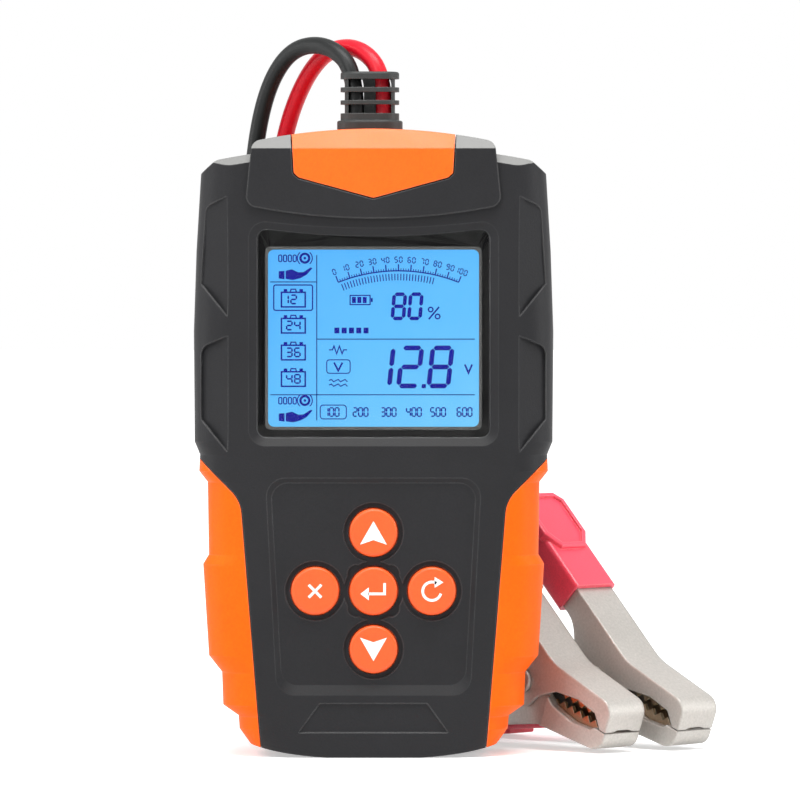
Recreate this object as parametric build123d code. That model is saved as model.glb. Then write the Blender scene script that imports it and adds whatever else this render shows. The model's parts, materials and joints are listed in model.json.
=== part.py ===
from build123d import *
import os
from math import atan2, cos, degrees, pi, radians, sin, tan

os.makedirs("parts", exist_ok=True)

# Handheld battery tester, in millimetres. X is across its face, -Y is the face, +Z is up.
# It stands on its lower end; the origin is on that surface, below the middle of the whole box.

# ---- case ----
DEPTH = 32.0
COLLAR_PROUD = 1.2
FRONT = -DEPTH / 2
FACE = FRONT + COLLAR_PROUD
BACK = DEPTH / 2
WALL = 2.5
CORNER_R = 9.0
SPLIT_Y = 1.0
GRIP_T = 3.0
SEAM = 0.15
FLOAT = 0.1
# half width of the case at each height, from the foot up
LEVELS = [(-3, 27.6), (3.3, 32.3), (7.2, 35.1), (10.6, 35.4), (13.4, 39.4), (22, 39.7), (26.3, 43.1),
          (50.2, 44.6), (52.7, 43.1), (71.7, 43.4), (74.5, 45.6), (78.8, 45.4), (82.2, 46.8),
          (111, 47.0), (132, 46.3), (152, 45.1), (175, 44.3)]
LAND = 12.0
FOOT_EDGE = (33.0, 3.4)
TOP_MID = 159.6
TOP_CORNER = (41.0, 155.6)
TOP_SIDE = (45.4, 151.8)
SHOULDER_R = 4.0
TOP_CHAMFER = 2.1

# ---- raised collar round the cable entry ----
COLLAR_HW = 33.2
COLLAR_LOW = 143.9
COLLAR_LOW_MID = 140.5
COLLAR_TOP = 160.4
COLLAR_TOP_HW = 31.6
COLLAR_TOP_MID = 163.8
COLLAR_SLOPE_H = 5.2
COLLAR_SLOPE_D = 4.2
TRIM_T = 2.2
TRIM = [(22.0, 175.0), (20.7, 152.2), (19.4, 151.0), (0.0, 145.7)]
TRIM_GAP = 0.3

# ---- window and display ----
WIN_HW = 30.3
WIN_LOW = 83.4
WIN_TOP = 137.9
WIN_TOP_MID = 135.7
WIN_R = 2.6
WIN_BEVEL = 2.2
WIN_SINK = 0.9
LENS_T = 1.5
VIEW_HW = 28.2
VIEW_LOW = 85.4
VIEW_TOP = 133.1
LEDGE_T = 1.5
LCD_T = 2.8
LCD_HW = 30.0
LCD_LOW = 83.6
LCD_TOP = 135.0
BACKLIGHT_T = 2.2

# ---- keypad ----
PAD_TOP = 71.6
PAD_TOP_HW = 26.8
PAD_LOW = 18.9
PAD_LOW_HW = 23.9
PAD_R = 4.3
PAD_BEVEL = 1.3
PAD_LEDGE = 2.6
PAD_SINK = 0.8
LOBE_R = 7.8
LOBE_SINK = 0.9
LOBE_FILL = 4.5
LOBE_FILL_R = 2.3
KEY_D = 12.5
KEY_GAP = 0.3
KEY_PITCH = 15.2
KEY_MID_Z = 43.5
KEY_FRONT = FACE - 0.9
KEY_FLANGE_D = 14.6
KEY_FLANGE_T = 0.9
KEY_STEM_D = 4.4
KEY_TRAVEL = 1.0
KEYS = {"button_up": (0, 1), "button_left": (-1, 0), "button_centre": (0, 0),
        "button_right": (1, 0), "button_down": (0, -1)}

# ---- board ----
BOARD_HW = 37.2
BOARD_LOW_HW = 34.0
BOARD_TAPER = 9.0
BOARD_LOW = 23.0
BOARD_TOP = 141.0
BOARD_T = 1.6
BOARD_Y = -4.4
BOARD_REAR = BOARD_Y + BOARD_T
DOME_T = 0.25
DOME_D = 6.0
MAT_T = 0.9
BOARD_SCREWS = [(34.7, 137.0), (27.6, 28.0)]

# ---- screws ----
CASE_SCREWS = [(38.0, 146.0), (24.6, 13.5)]
BOSS_D = 7.0
SCREW_D = 2.9
SCREW_HEAD_D = 5.4
SCREW_HEAD_T = 1.9
SCREW_SEAT_Y = 6.0

# ---- cable entry ----
BOOT_X = -1.0
CABLE_D = 4.5
CABLE_OFF = 3.7
BOOT_W = 15.4
BOOT_D = 9.4
BOOT_LOW = COLLAR_TOP_MID + 0.1
FLANGE_T = 2.3
BOOT_TOP = 179.0
RIB_H = 1.1
SLOTS = [(168.1, 170.4), (171.5, 173.7), (174.9, 177.1)]
NECK_W = 13.0
NECK_D = 7.4
SADDLE_Z = 151.0

# ---- leads: hand-placed points from the boot to the coil and from the coil to the clamp ----
COIL_X = -16.0
COIL_Y = 88.0
COIL_R = 23.0
COIL_H = 2 * CABLE_D
COIL_Z = 0.7
TIE_T = 0.6
FLOOR_Z = CABLE_D / 2 + 0.05
TURN_1 = COIL_Z + CABLE_D / 2
TURN_2 = TURN_1 + CABLE_D
TURN_3 = TURN_2 + CABLE_D + 0.05
TURN_4 = TURN_3 + CABLE_D
BLACK_ROUTE = [(-4.7, 0, 167.0), (-4.7, 0, 179.0), (-11.4, 5.6, 186.4), (-20.8, 13.8, 186.4),
               (-27.4, 20.2, 178.2), (-31.4, 24.0, 163.5), (-33.4, 25.4, 140.0), (-34.6, 25.6, 103.0),
               (-34.0, 26.6, 66.0), (-34.2, 28.4, 36.0), (-35.0, 35.0, 13.5), (-36.6, 48.5, FLOOR_Z),
               (-38.4, 63.0, FLOOR_Z), (-39.0, 76.5, 2.6), (-39.0, 88.0, TURN_1)]
RED_ROUTE = [(2.7, 0, 167.0), (2.7, 0, 178.4), (-3.4, 5.4, 185.8), (-11.8, 13.6, 185.8),
             (-18.6, 20.2, 178.0), (-24.2, 24.4, 163.0), (-27.0, 25.6, 140.0), (-27.6, 26.0, 103.0),
             (-26.6, 27.0, 66.0), (-26.8, 28.6, 36.0), (-27.8, 35.4, 13.5), (-30.2, 49.0, 4.4),
             (-34.0, 62.5, 8.2), (-38.0, 75.0, 12.8), (-39.0, 88.0, TURN_3)]
BLACK_TAIL = [(7.0, 88.0, TURN_2), (5.4, 77.0, 6.8), (5.0, 64.4, 5.9), (12.6, 53.0, 7.0),
              (30.0, 35.5, 8.9), (45.0, 20.6, 10.3)]
RED_TAIL = [(0.3, 104.3, TURN_4), (9.0, 94.6, 15.4), (16.4, 84.2, 9.8), (22.6, 73.6, 5.9),
            (33.2, 61.9, 7.1), (48.7, 46.3, 8.7), (64.5, 30.6, 10.3)]

# ---- clamps: local X runs to the tip, local Z is the way the jaw opens, local Y the hinge ----
SHEET = 1.2
CLAMP_W = 13.4
LOWER_W = 10.4
LOWER_STEP = 9.7
NOSE_X = 32.3
NOSE_TOP = 6.6
NOSE_MEET = -1.0
NOSE_GAP = 0.35
BEND = (9.0, 8.7)
HANDLE_ANGLE = 25.0
HANDLE_LEN = 57.0
FLANGE_DEPTH = 7.0
EAR_R = 6.6
RIVET_D = 4.0
SLEEVE_T = 1.4
SLEEVE_LEN = 31.0
CLAMP_YAW = -45.0
BLACK_PIVOT = (44.3, 21.3)
RED_PIVOT = (63.8, 31.3)
TOOTH = 3.0


def prism(outline, front, rear):
    """The outline, drawn in X and Z, between two Y planes."""
    return extrude(Plane.XZ.offset(-rear) * outline, amount=rear - front)


def mirrored(points):
    """Right-hand points from the top down, with their mirror image, as one closed ring."""
    left = [(-x, z) for x, z in reversed(points) if x > 0.01]
    return points + left


def column(inset):
    """The tall body with rounded upright corners, smaller all round by inset."""
    depth = BACK - FACE - 2 * inset
    middle = (BACK + FACE) / 2
    rings = [Plane((0, middle, z)) * RectangleRounded(2 * (half - inset), depth, CORNER_R - inset)
             for z, half in LEVELS]
    return loft(rings, ruled=True)


def ends_face(inset):
    """Front outline that trims the column at its arched top and foot."""
    side = 60.0
    low = FOOT_EDGE[1] + 5.0
    foot = [Line((-LAND, 0), (LAND, 0)),
            ThreePointArc((LAND, 0), (LAND + 11, 1.25), FOOT_EDGE),
            Polyline(FOOT_EDGE, (side, low), (side, TOP_SIDE[1] - 12), TOP_SIDE, TOP_CORNER)]
    top = ThreePointArc(TOP_CORNER, (0, TOP_MID), (-TOP_CORNER[0], TOP_CORNER[1]))
    left = [Polyline((-TOP_CORNER[0], TOP_CORNER[1]), (-TOP_SIDE[0], TOP_SIDE[1]),
                     (-side, TOP_SIDE[1] - 12), (-side, low), (-FOOT_EDGE[0], FOOT_EDGE[1])),
            ThreePointArc((-FOOT_EDGE[0], FOOT_EDGE[1]), (-LAND - 11, 1.25), (-LAND, 0))]
    face = make_face(foot + [top] + left)
    for x, z in (TOP_CORNER, TOP_SIDE):
        for side in (-1, 1):
            face = fillet(face.vertices().sort_by_distance((side * x, z))[0], SHOULDER_R)
    return offset(face, -inset) if inset else face


def main_body():
    """Outside of both covers, without the collar."""
    ends = prism(ends_face(0), FACE, BACK)
    high = ends.edges().filter_by(lambda e: e.center().Z > TOP_SIDE[1] - 1)
    long_edges = high.filter_by(Axis.Y, reverse=True)
    return column(0) & chamfer(long_edges, TOP_CHAMFER)


def collar_face(inset):
    """Outline of the raised collar."""
    hw = COLLAR_HW - inset
    top_hw = COLLAR_TOP_HW - inset
    low = ThreePointArc((-hw, COLLAR_LOW + inset), (0, COLLAR_LOW_MID + inset), (hw, COLLAR_LOW + inset))
    high = ThreePointArc((top_hw, COLLAR_TOP - inset), (0, COLLAR_TOP_MID - inset),
                         (-top_hw, COLLAR_TOP - inset))
    right = Line((hw, COLLAR_LOW + inset), (top_hw, COLLAR_TOP - inset))
    left = Line((-top_hw, COLLAR_TOP - inset), (-hw, COLLAR_LOW + inset))
    face = make_face([low, right, high, left])
    return fillet(face.vertices(), 2.8 - inset * 0.5)


def side_profile(inset, low):
    """Side view of the collar: upright face, slope up to the top, flat top, sloped back edge."""
    y0 = FRONT + inset
    top = COLLAR_TOP_MID + 3.0
    knee = COLLAR_TOP_MID - COLLAR_SLOPE_H - inset * 0.4
    reach = COLLAR_SLOPE_D * (top - knee) / COLLAR_SLOPE_H
    back = BACK - inset
    ring = [(y0, low), (y0, knee), (y0 + reach, top), (back - 4.5, top), (back, knee), (back, low)]
    outline = make_face(Polyline(ring, close=True))
    return extrude(Plane.YZ * outline, amount=60, both=True)


def collar(inset):
    """Collar block, all the way from the face to the back."""
    block = prism(collar_face(inset), FRONT - 1, BACK + 1)
    return block & side_profile(inset, COLLAR_LOW_MID - 5)


def trim_face(gap):
    """Five-sided outline of the trim insert."""
    face = make_face(Polyline(mirrored(TRIM), close=True))
    soft = [v for v in face.vertices() if v.Y < TRIM[0][1] - 5]
    face = fillet(soft, 0.8)
    return offset(face, gap) if gap else face


def grip_face(grow):
    """Outline of the region that a side grip covers on the right."""
    ring = [(28.55, -8), (31.9, 33), (34.6, 67.0), (46.5, 78.9), (70, 102.4), (70, -8)]
    face = make_face(Polyline(ring, close=True))
    knee = face.vertices().sort_by_distance((34.6, 67.0))[0]
    face = fillet(knee, 9)
    return offset(face, grow) if grow else face


def grip_region(grow):
    right = prism(grip_face(grow), FRONT - 5, BACK + 5)
    return right + mirror(right, Plane.YZ)


def window_face(margin):
    """Window outline; its top edge dips in the middle."""
    hw = WIN_HW + margin
    low = WIN_LOW - margin
    top = WIN_TOP + margin
    dip = WIN_TOP_MID + margin
    arc = ThreePointArc((hw, top), (0, dip), (-hw, top))
    face = make_face([Polyline((-hw, top), (-hw, low), (hw, low), (hw, top)), arc])
    return fillet(face.vertices(), WIN_R + max(margin, 0) * 0.8)


def pad_face(margin, ledge):
    """Keypad panel outline."""
    top = PAD_TOP + margin
    low = PAD_LOW - ledge
    ring = [(PAD_TOP_HW + margin, top), (PAD_LOW_HW + margin, low)]
    face = make_face(Polyline([ring[0], ring[1], (-ring[1][0], low), (-ring[0][0], top)], close=True))
    return fillet(face.vertices(), PAD_R + margin * 0.5)


def bevelled_pocket(outer, inner, sink):
    """Pocket that narrows from the outer outline at the face to the inner one at its floor."""
    top = Plane.XZ.offset(-FACE) * outer
    floor = Plane.XZ.offset(-FACE - sink) * inner
    return loft([top.faces()[0], floor.faces()[0]], ruled=True)


def key_place(step):
    return step[0] * KEY_PITCH, KEY_MID_Z + step[1] * KEY_PITCH


def lobes():
    """Five overlapping round lobes with the notches between them filled."""
    shape = Sketch() + [Pos(*key_place(step)) * Circle(LOBE_R) for step in KEYS.values()]
    for sx in (-1, 1):
        for sz in (-1, 1):
            shape += Pos(sx * LOBE_FILL, KEY_MID_Z + sz * LOBE_FILL) * Circle(LOBE_FILL_R)
    return shape


def scoop(z_low, z_top, top_round):
    """Finger scoop in the right front corner: flat sloping floor, upright outer wall."""
    flat = 38.0
    outer_low = 44.9
    outer_top = 43.6 if top_round else 44.9
    ring = [(flat, z_low), (outer_low, z_low + 8.5), (outer_top, z_top - 3.5), (flat - 1.5, z_top)]
    face = make_face(Polyline(ring, close=True))
    face = fillet(face.vertices().sort_by_distance(ring[2])[0], 3.0)
    wedge_ring = [(flat - 0.2, FACE - 3), (flat - 0.2, FACE), (45.4, FACE + 4.5), (45.4, FACE - 3)]
    wedge = extrude(make_face(Polyline(wedge_ring, close=True)), amount=200)
    return prism(face, FACE - 2, FACE + 8) & wedge


def rod(point, axis_front, axis_rear, diameter):
    """Cylinder along Y at an X and Z place."""
    plane = Plane.XZ.offset(-axis_rear)
    return extrude(plane * Pos(*point) * Circle(diameter / 2), amount=axis_rear - axis_front)


def four(points):
    return [(s * x, z) for x, z in points for s in (-1, 1)]


def outline_shapes():
    body = main_body() + collar(0)
    groove = grip_region(SEAM) - column(GRIP_T)
    inner_ends = prism(ends_face(WALL), FACE + WALL, BACK - WALL)
    plain = column(WALL) - grip_region(SEAM + WALL)
    cavity = (plain + column(GRIP_T + WALL)) & inner_ends
    pocket = prism(trim_face(TRIM_GAP), FRONT - 1, BACK + 1) - collar(TRIM_T)
    return body, groove, cavity, pocket


def neck(z_low, z_top, grow):
    slot = SlotOverall(NECK_W + 2 * grow, NECK_D + 2 * grow)
    return extrude(Plane((BOOT_X, 0, z_low)) * slot, amount=z_top - z_low)


def front_cover(body, groove, cavity, pocket):
    cover = body & Pos(0, (FRONT - 2 + SPLIT_Y) / 2, 80) * Box(120, SPLIT_Y - FRONT + 2, 200)
    cover -= groove
    cover -= cavity
    ledge = prism(window_face(3.4), FACE + WALL, FACE + WALL + LEDGE_T)
    cover += ledge
    for place in four(CASE_SCREWS):
        cover += rod(place, FACE + WALL - 0.2, SPLIT_Y, BOSS_D)
    for place in four(BOARD_SCREWS):
        cover += rod(place, FACE + WALL - 0.2, BOARD_Y, 5.0)
    cover -= bevelled_pocket(window_face(WIN_BEVEL), window_face(0), WIN_SINK)
    cover -= prism(window_face(0), FACE + WIN_SINK - 0.1, FACE + WIN_SINK + LENS_T)
    view = Pos(0, (VIEW_LOW + VIEW_TOP) / 2) * RectangleRounded(2 * VIEW_HW, VIEW_TOP - VIEW_LOW, 1.5)
    cover -= prism(view, FACE, FACE + 8)
    cover -= bevelled_pocket(pad_face(PAD_BEVEL, PAD_LEDGE), pad_face(0, 0), PAD_SINK)
    cover -= prism(lobes(), FACE, FACE + PAD_SINK + LOBE_SINK)
    for step in KEYS.values():
        cover -= rod(key_place(step), FACE, FACE + 6, KEY_D + 2 * KEY_GAP)
    relief = make_face(Polyline(mirrored([(14.0, 14.2), (19.5, 6.6)]), close=True))
    cover -= prism(relief, FACE - 1, FACE + 0.4)
    for z_low, z_top, top_round in ((114.9, 147.0, True), (79.6, 110.5, False)):
        cut = scoop(z_low, z_top, top_round)
        cover -= cut + mirror(cut, Plane.YZ)
    cover -= pocket
    cover -= neck(150, 170, FLOAT)
    for place in four(CASE_SCREWS):
        cover -= rod(place, SPLIT_Y - 11, SPLIT_Y + 1, SCREW_D + 0.1)
    for place in four(BOARD_SCREWS):
        cover -= rod(place, BOARD_Y - 5, BOARD_Y + 1, 2.1)
    return cover


def rear_cover(body, groove, cavity, pocket):
    cover = body & Pos(0, (BACK + 2 + SPLIT_Y) / 2, 80) * Box(120, BACK + 2 - SPLIT_Y, 200)
    cover -= groove
    cover -= cavity
    for place in four(CASE_SCREWS):
        cover += rod(place, SPLIT_Y, BACK - WALL + 0.2, BOSS_D + 1.4)
    for sx in (-1, 1):
        post = Pos(BOOT_X + sx * 10.5, (2.6 + BACK - WALL) / 2, SADDLE_Z) * Box(6, BACK - WALL - 2.6 + 0.4, 6)
        cover += post
    label = Pos(0, 98) * RectangleRounded(62, 70, 3)
    cover -= prism(label, BACK - 0.5, BACK + 1)
    for row in range(5):
        rib = Pos(0, 30 + 5 * row) * RectangleRounded(40, 1.8, 0.8)
        cover -= prism(rib, BACK - 0.9, BACK + 1)
    cover -= pocket
    cover -= neck(150, 170, FLOAT)
    for place in four(CASE_SCREWS):
        cover -= rod(place, SPLIT_Y - 1, BACK + 1, SCREW_D + 0.3)
        cover -= rod(place, SCREW_SEAT_Y, BACK + 1, SCREW_HEAD_D + 0.4)
    for sx in (-1, 1):
        cover -= rod((BOOT_X + sx * 10.5, SADDLE_Z), 2, 10, 2.1)
    return cover


def grips():
    """Left and right grip, wrapped round the side from face to back."""
    outer = column(0) & prism(ends_face(0), FACE, BACK)
    right = (outer & prism(grip_face(0), FRONT - 5, BACK + 5)) - column(GRIP_T)
    return {"grip_left": mirror(right, Plane.YZ), "grip_right": right}


def top_trim():
    shell = (collar(0) - collar(TRIM_T)) & prism(trim_face(0), FRONT - 1, BACK + 1)
    return shell - neck(150, 170, FLOAT)


def display():
    lens_front = FACE + WIN_SINK
    lens = prism(window_face(-FLOAT), lens_front, lens_front + LENS_T - 0.05)
    lcd_front = FACE + WALL + LEDGE_T + 0.1
    lcd_rear = lcd_front + LCD_T
    middle = (LCD_LOW + LCD_TOP) / 2
    height = LCD_TOP - LCD_LOW
    glass = prism(Pos(0, middle) * Rectangle(2 * LCD_HW, height), lcd_front, lcd_rear)
    light_rear = lcd_rear + 0.1 + BACKLIGHT_T
    light = prism(Pos(0, middle) * Rectangle(2 * LCD_HW - 3, height - 6), lcd_rear + 0.1, light_rear)
    tray = prism(Pos(0, middle) * RectangleRounded(2 * LCD_HW + 3.4, height + 3.4, 1.5),
                 lcd_front, BOARD_Y)
    tray -= prism(Pos(0, middle) * Rectangle(2 * LCD_HW + 0.2, height + 0.2), lcd_front - 1, BOARD_Y + 1)
    strips = []
    for z in (LCD_LOW + 1.2, LCD_TOP - 1.2):
        strips.append(prism(Pos(0, z) * Rectangle(2 * LCD_HW - 6, 2.0), lcd_rear, BOARD_Y))
    return {"window_lens": lens, "display_glass": glass, "display_backlight": light,
            "display_tray": tray, "display_contact_strips": Compound(strips)}


def button(place):
    """Round key cap with a flange behind the panel and a stem down to its dome."""
    flange_front = FACE + WALL + KEY_GAP
    cap = rod(place, KEY_FRONT, flange_front + KEY_FLANGE_T, KEY_D)
    rim = cap.edges().sort_by(Axis.Y)[0]
    cap = fillet(rim, 0.9)
    flange = rod(place, flange_front, flange_front + KEY_FLANGE_T, KEY_FLANGE_D)
    stem_rear = BOARD_Y - DOME_T - KEY_TRAVEL - 0.2
    hollow = rod(place, FACE + 1.2, flange_front + 2, KEY_D - 2.4)
    return (cap + flange - hollow) + rod(place, FACE + 0.5, stem_rear, KEY_STEM_D)


def keypad_mat():
    """Silicone sheet on the board with a cone round every key stem."""
    low = KEY_MID_Z - KEY_PITCH - 5.4
    top = KEY_MID_Z + KEY_PITCH + 8
    sheet_front = BOARD_Y - MAT_T
    mat = prism(Pos(0, (low + top) / 2) * RectangleRounded(48, top - low, 2), sheet_front, BOARD_Y)
    cone_h = 2.6
    for step in KEYS.values():
        x, z = key_place(step)
        base = Plane(origin=(x, sheet_front + 0.1, z), z_dir=(0, -1, 0))
        mat += base * Cone(5.4, 3.6, cone_h, align=(Align.CENTER, Align.CENTER, Align.MIN))
    for step in KEYS.values():
        x, z = key_place(step)
        base = Plane(origin=(x, sheet_front + 0.1, z), z_dir=(0, -1, 0))
        mat -= base * Cone(4.6, 2.8, cone_h + 0.02, align=(Align.CENTER, Align.CENTER, Align.MIN))
        mat -= rod((x, z), sheet_front - 3.4, BOARD_Y + 1, KEY_STEM_D + 1.0)
        mat -= rod((x, z), sheet_front - 0.05, BOARD_Y + 1, 8.6)
    return mat


def board_parts():
    ring = [(BOARD_HW, BOARD_TOP), (BOARD_HW, BOARD_LOW + BOARD_TAPER), (BOARD_LOW_HW, BOARD_LOW)]
    board = prism(make_face(Polyline(mirrored(ring), close=True)), BOARD_Y, BOARD_REAR)
    for place in four(BOARD_SCREWS):
        board -= rod(place, BOARD_Y - 1, BOARD_REAR + 1, 2.4)
    domes = [rod(key_place(s), BOARD_Y - DOME_T, BOARD_Y, DOME_D) for s in KEYS.values()]
    rear = BOARD_REAR

    def block(x, z, w, h, t):
        return Pos(x, rear + t / 2, z) * Box(w, t, h)

    chip = chamfer(block(-6, 72, 12, 12, 1.5).edges().group_by(Axis.Y)[-1], 0.3)
    drivers = [block(x, z, 5, 6.2, 1.6) for x, z in ((-20, 78), (-20, 66), (8, 84))]
    caps = [rod((x, z), rear, rear + 11, 8) for x, z in ((20, 110), (20, 98), (-24, 112))]
    caps = [fillet(c.edges().sort_by(Axis.Y)[-1], 0.6) for c in caps]
    powers = []
    for x in (-12, 0, 12):
        tab = Pos(x, rear + 0.7, 128) * Box(10, 1.4, 7)
        tab -= rod((x, 129), rear - 1, rear + 3, 3.4)
        powers.append(tab + Pos(x, rear + 2.2, 120.2) * Box(10, 4.4, 9))
    resistor = fillet(block(24, 62, 9.5, 44, 9).edges().filter_by(Axis.Z), 0.6)
    buzzer = rod((-22, 46), rear, rear + 7, 12) - rod((-22, 46), rear + 5, rear + 8, 2)
    lugs = []
    for side in (-1, 1):
        x = BOOT_X + side * 12
        lug = Pos(x, rear + 0.5, 137) * Box(6, 1.0, 6)
        lugs.append(lug + rod((x, 137), rear + 0.9, rear + 3.2, 4.2))
    screws = []
    for place in four(BOARD_SCREWS):
        head = rod(place, rear, rear + 1.6, 4.2)
        screws.append(head + rod(place, BOARD_Y - 4.4, rear + 0.2, 2.0))
    return {"main_board": board, "contact_domes": Compound(domes), "controller_chip": chip,
            "driver_chips": Compound(drivers), "filter_capacitors": Compound(caps),
            "power_transistors": Compound(powers), "load_resistor": resistor, "buzzer": buzzer,
            "lead_lugs": Compound(lugs), "board_screws": Compound(screws)}


def case_screws():
    screws = []
    for place in four(CASE_SCREWS):
        head = rod(place, SCREW_SEAT_Y, SCREW_SEAT_Y + SCREW_HEAD_T, SCREW_HEAD_D)
        head = fillet(head.edges().sort_by(Axis.Y)[-1], 0.5)
        screw = head + rod(place, SPLIT_Y - 9, SCREW_SEAT_Y + 0.1, SCREW_D)
        cross = Pos(place[0], SCREW_SEAT_Y + SCREW_HEAD_T, place[1])
        screw -= cross * Box(3.2, 2.0, 0.7)
        screw -= cross * Box(0.7, 2.0, 3.2)
        screws.append(screw)
    return Compound(screws)


def tube(points, diameter):
    """Round tube along straight runs with an arc as large as each corner's runs allow."""
    route = [Vector(*p) for p in points]
    runs = [(b - a).length for a, b in zip(route, route[1:])]
    radii = []
    for i in range(1, len(route) - 1):
        turn = radians((route[i] - route[i - 1]).get_angle(route[i + 1] - route[i]))
        radii.append(0.45 * min(runs[i - 1], runs[i]) / tan(turn / 2))
    path = FilletPolyline(*route, radius=radii)
    start = Plane(origin=route[0], z_dir=route[1] - route[0])
    solid = sweep(start * Circle(diameter / 2), path=path)
    ideal = pi * diameter * diameter / 4 * path.length
    print("tube", len(points), "length", round(path.length, 1), "volume ratio",
          round(solid.volume / ideal, 4), "radii", [round(r, 1) for r in radii])
    return solid


def cable_boot(paths):
    flange = extrude(Plane((BOOT_X, 0, BOOT_LOW)) * SlotOverall(BOOT_W + 1.8, BOOT_D + 1.8),
                     amount=FLANGE_T)
    flange = fillet(flange.edges().group_by(Axis.Z)[-1], 0.5)
    shank = extrude(Plane((BOOT_X, 0, BOOT_LOW)) * SlotOverall(BOOT_W, BOOT_D),
                    amount=BOOT_TOP - BOOT_LOW)
    shank = fillet(shank.edges().group_by(Axis.Z)[-1], 0.7)
    for low, top in SLOTS:
        place = Plane((BOOT_X, 0, low))
        groove = SlotOverall(BOOT_W + 2, BOOT_D + 2) - SlotOverall(BOOT_W - 2 * RIB_H, BOOT_D - 2 * RIB_H)
        shank -= extrude(place * groove, amount=top - low)
        for side in (-1, 1):
            shank -= Pos(BOOT_X, side * (1.0 + 5.0), (low + top) / 2) * Box(BOOT_W - 4.2, 10.0, top - low)
    boot = flange + shank + neck(BOOT_LOW - 7.0, BOOT_LOW + 0.1, 0)
    boot += extrude(Plane((BOOT_X, 0, BOOT_LOW - 9.0)) * SlotOverall(NECK_W + 4, NECK_D + 4), amount=1.9)
    for side in (-1, 1):
        boot -= Pos(BOOT_X + side * CABLE_OFF, 0, 160) * Cylinder(CABLE_D / 2 + FLOAT, 30)
    for path in paths:
        boot -= tube(path[:5], CABLE_D + 2 * FLOAT)
    return max(boot.solids(), key=lambda solid: solid.volume)


def inner_lead(side):
    """Jacketed end of a lead inside the case, and its bared conductor down to the lug."""
    x = BOOT_X + side * CABLE_OFF
    jacket = Pos(x, 0, (147.5 + 167.0) / 2) * Cylinder(CABLE_D / 2, 167.0 - 147.5)
    lug_x = BOOT_X + side * 12
    lug_y = BOARD_REAR + 4.5
    wire = tube([(x, 0, 147.6), (x, 0.2, 144.0), (x + side * 3.2, 1.5, 139.6), (lug_x, lug_y, 137.0)], 2.2)
    return jacket + wire


def cord_clamp():
    bar = Pos(BOOT_X, -3.9, SADDLE_Z) * Box(27, 3.0, 5)
    bar = chamfer(bar.edges().filter_by(Axis.X), 0.5)
    screws = []
    for side in (-1, 1):
        place = (BOOT_X + side * 10.5, SADDLE_Z)
        bar -= rod(place, -8, 3, 2.5)
        head = rod(place, -7.0, -5.4, 4.2)
        screws.append(head + rod(place, -5.6, 8.5, 2.0))
    return {"cord_clamp_bar": bar, "cord_clamp_screws": Compound(screws)}


# ---- clamp ----

def on_handle(back, depth):
    """Local X and Z of a point on the upper handle: back from the bend, depth below its plate."""
    a = radians(HANDLE_ANGLE)
    return BEND[0] - back * cos(a) - depth * sin(a), BEND[1] + back * sin(a) - depth * cos(a)


def lever_profile(shrink):
    """Side view of the upper lever; shrink gives the hollow under its plate."""
    open_down = 14 if shrink else 0
    nose = NOSE_X - shrink
    top = NOSE_TOP - shrink
    slope = (BEND[1] - NOSE_TOP) / (NOSE_X - BEND[0])
    plate = [(nose, NOSE_MEET - open_down), (nose, top), (BEND[0], BEND[1] - shrink)]
    plate.append(on_handle(HANDLE_LEN + (1 if shrink else 0), shrink))
    if shrink:
        edge = [on_handle(HANDLE_LEN + 1, 30), (nose - 30, -30)]
        face = make_face(Polyline(plate + edge, close=True))
        return fillet(face.vertices().sort_by_distance(plate[1])[0], 2.8)
    edge = [on_handle(HANDLE_LEN, FLANGE_DEPTH), on_handle(21, FLANGE_DEPTH + 0.05), (-6.2, -2.4),
            (-3.2, -EAR_R), (3.2, -EAR_R), (6.4, -1.8), (12, 2.0), (20, 3.3), (27, 2.4),
            (NOSE_X - 2.2, NOSE_MEET)]
    face = make_face(Polyline(plate + edge, close=True))
    for point, radius in ((plate[1], 4.0), (plate[2], 16.0), (edge[3], 3.0), (edge[4], 3.0),
                          (edge[1], 8.0), (edge[5], 3.0)):
        corner = face.vertices().sort_by_distance(point)[0]
        face = fillet(corner, radius)
    return face


def thick(face, width):
    return extrude(Plane.XZ * face, amount=width / 2, both=True)


def upper_lever():
    lever = thick(lever_profile(0), CLAMP_W) - thick(lever_profile(SHEET), CLAMP_W - 2 * SHEET)
    lever -= Rot(X=90) * Cylinder(RIVET_D / 2 + 0.05, 40)
    lever -= Pos(NOSE_X, 0, NOSE_MEET - 2.0) * Box(3, 8, 5.0) & Pos(NOSE_X, 0, NOSE_MEET - 9.3) * \
        Rot(Y=90) * Cylinder(10, 3)
    return lever


def lower_lever():
    face = lever_profile(0)
    narrow = thick(face, LOWER_W) - thick(lever_profile(SHEET), LOWER_W - 2 * SHEET)
    wide = thick(face, CLAMP_W) - thick(lever_profile(SHEET), CLAMP_W - 2 * SHEET)
    wide &= Pos(LOWER_STEP + 20, 0, 0) * Box(40, 40, 60)
    joggle = thick(face, CLAMP_W - 0.4) - thick(lever_profile(SHEET), LOWER_W - 2 * SHEET + 0.4)
    joggle &= Pos(LOWER_STEP + 0.8, 0, 0) * Box(1.6, 40, 60)
    lever = mirror(narrow + wide + joggle, Plane.XY)
    lever -= Pos(NOSE_X, 0, 20 + NOSE_MEET - NOSE_GAP) * Box(12, 40, 40)
    return lever - Rot(X=90) * Cylinder(RIVET_D / 2 + 0.02, 40)


def rivet():
    pin = Rot(X=90) * Cylinder(RIVET_D / 2, CLAMP_W + 1.6)
    for side in (-1, 1):
        head = Pos(0, side * (CLAMP_W / 2 + 0.2 + 0.5), 0) * Rot(X=90) * Cylinder(3.3, 1.0)
        far = head.edges().sort_by(Axis.Y)[-1 if side > 0 else 0]
        pin += fillet(far, 0.45)
    return pin


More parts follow.
